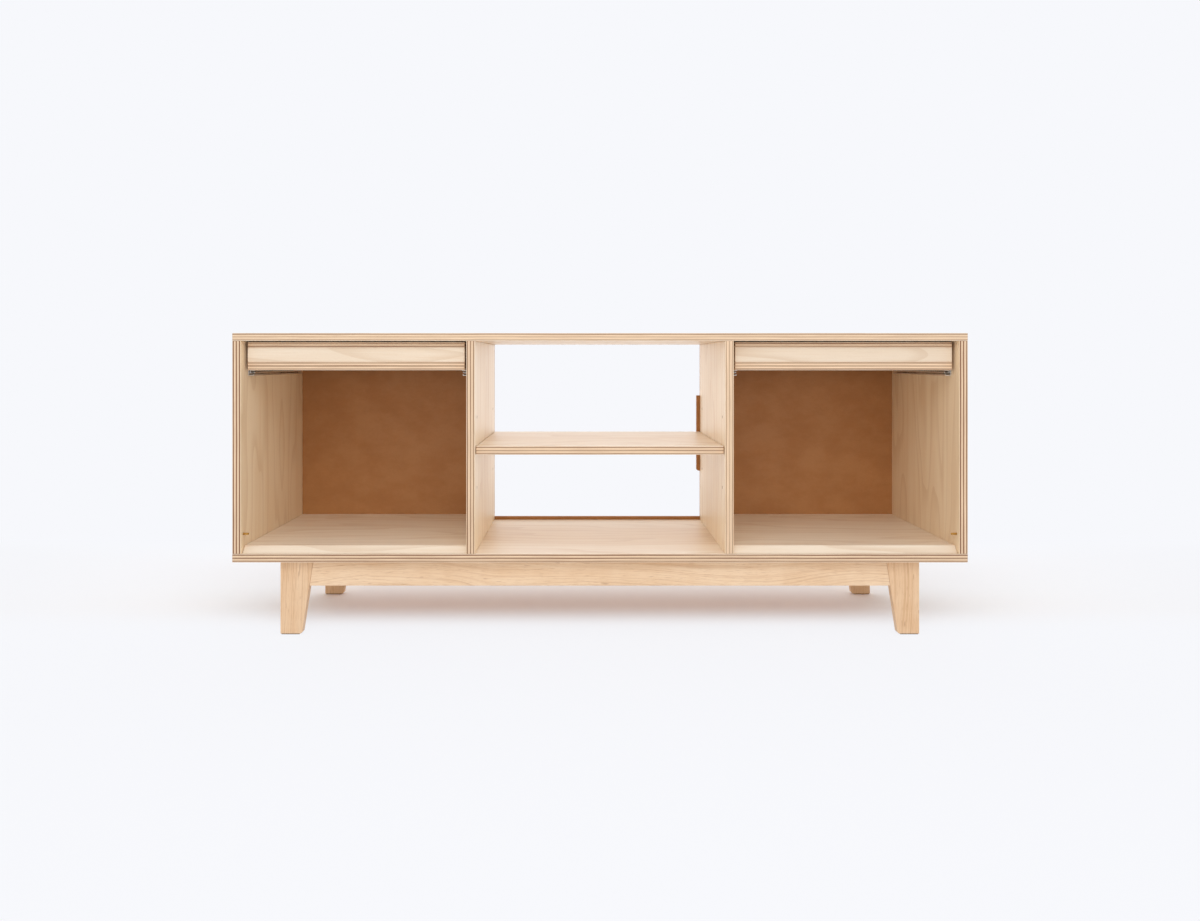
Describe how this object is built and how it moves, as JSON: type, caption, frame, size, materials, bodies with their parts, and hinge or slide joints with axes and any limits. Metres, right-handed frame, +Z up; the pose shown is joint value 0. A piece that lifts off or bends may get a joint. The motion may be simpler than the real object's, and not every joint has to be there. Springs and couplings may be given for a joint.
{
  "type": "record cabinet",
  "caption": "Low plywood record cabinet: record bays under shallow drawers, an open centre bay with an adjustable shelf, and a solid wood base on tapered legs.",
  "frame": {"origin": "on the floor, under the centre of the cabinet's bounding box", "axes": "+X to the right along the width, +Y to the rear, +Z up; the open front faces -Y"},
  "size_m": [1.372, 0.387, 0.568],
  "materials": {
    "birch_ply": "clear satin lacquer, layered edges left showing",
    "birch_solid": "clear satin lacquer on solid wood",
    "brown_sheet": "brown hardboard sheet, satin",
    "zinc": "bright zinc plate",
    "brass": "satin",
    "steel": "nickel plate",
    "nylon": "moulded, matt"
  },
  "bodies": {
    "cabinet": {"top_panel": "birch_ply", "bottom_panel": "birch_ply", "back_panel": "brown_sheet", "centre_shelf": "birch_ply", "left_side": "birch_ply", "right_side": "birch_ply", "left_divider": "birch_ply", "right_divider": "birch_ply", "left_record_floor": "birch_ply", "right_record_floor": "birch_ply", "left_stop_pin": "brass", "right_stop_pin": "brass", "left_front_shelf_pin": "steel", "left_rear_shelf_pin": "steel", "right_front_shelf_pin": "steel", "right_rear_shelf_pin": "steel", "front_rail": "birch_solid", "rear_rail": "birch_solid", "left_base_rail": "birch_solid", "right_base_rail": "birch_solid", "left_front_leg": "birch_solid", "left_rear_leg": "birch_solid", "right_front_leg": "birch_solid", "right_rear_leg": "birch_solid", "left_front_glide": "nylon", "left_rear_glide": "nylon", "right_front_glide": "nylon", "right_rear_glide": "nylon", "left_front_corner_block": "birch_solid", "left_rear_corner_block": "birch_solid", "right_front_corner_block": "birch_solid", "right_rear_corner_block": "birch_solid", "left_front_base_screw": "steel", "left_rear_base_screw": "steel", "right_front_base_screw": "steel", "right_rear_base_screw": "steel", "left_bay_left_slide_cabinet": "zinc", "left_bay_right_slide_cabinet": "zinc", "right_bay_left_slide_cabinet": "zinc", "right_bay_right_slide_cabinet": "zinc"},
    "left_drawer": {"left_drawer_front": "birch_ply", "left_drawer_cap": "birch_ply", "left_drawer_bottom": "birch_ply", "left_drawer_back": "birch_ply", "left_drawer_left_side": "birch_ply", "left_drawer_right_side": "birch_ply", "left_bay_left_slide_drawer": "zinc", "left_bay_right_slide_drawer": "zinc"},
    "left_slide_middle": {"left_bay_left_slide_middle": "zinc", "left_bay_right_slide_middle": "zinc"},
    "right_drawer": {"right_drawer_front": "birch_ply", "right_drawer_cap": "birch_ply", "right_drawer_bottom": "birch_ply", "right_drawer_back": "birch_ply", "right_drawer_left_side": "birch_ply", "right_drawer_right_side": "birch_ply", "right_bay_left_slide_drawer": "zinc", "right_bay_right_slide_drawer": "zinc"},
    "right_slide_middle": {"right_bay_left_slide_middle": "zinc", "right_bay_right_slide_middle": "zinc"}
  },
  "joints": [
    {"name": "left_drawer_slide", "type": "slide", "parent": "cabinet", "child": "left_drawer", "axis": [0, -1, 0], "range_m": [0, 0.3]},
    {"name": "left_middle_slide", "type": "slide", "parent": "cabinet", "child": "left_slide_middle", "axis": [0, -1, 0], "range_m": [0, 0.15]},
    {"name": "right_drawer_slide", "type": "slide", "parent": "cabinet", "child": "right_drawer", "axis": [0, -1, 0], "range_m": [0, 0.3]},
    {"name": "right_middle_slide", "type": "slide", "parent": "cabinet", "child": "right_slide_middle", "axis": [0, -1, 0], "range_m": [0, 0.15]}
  ],
  "couplings": [
    {"joint": "left_middle_slide", "follows": "left_drawer_slide", "ratio": 0.5},
    {"joint": "right_middle_slide", "follows": "right_drawer_slide", "ratio": 0.5}
  ]
}
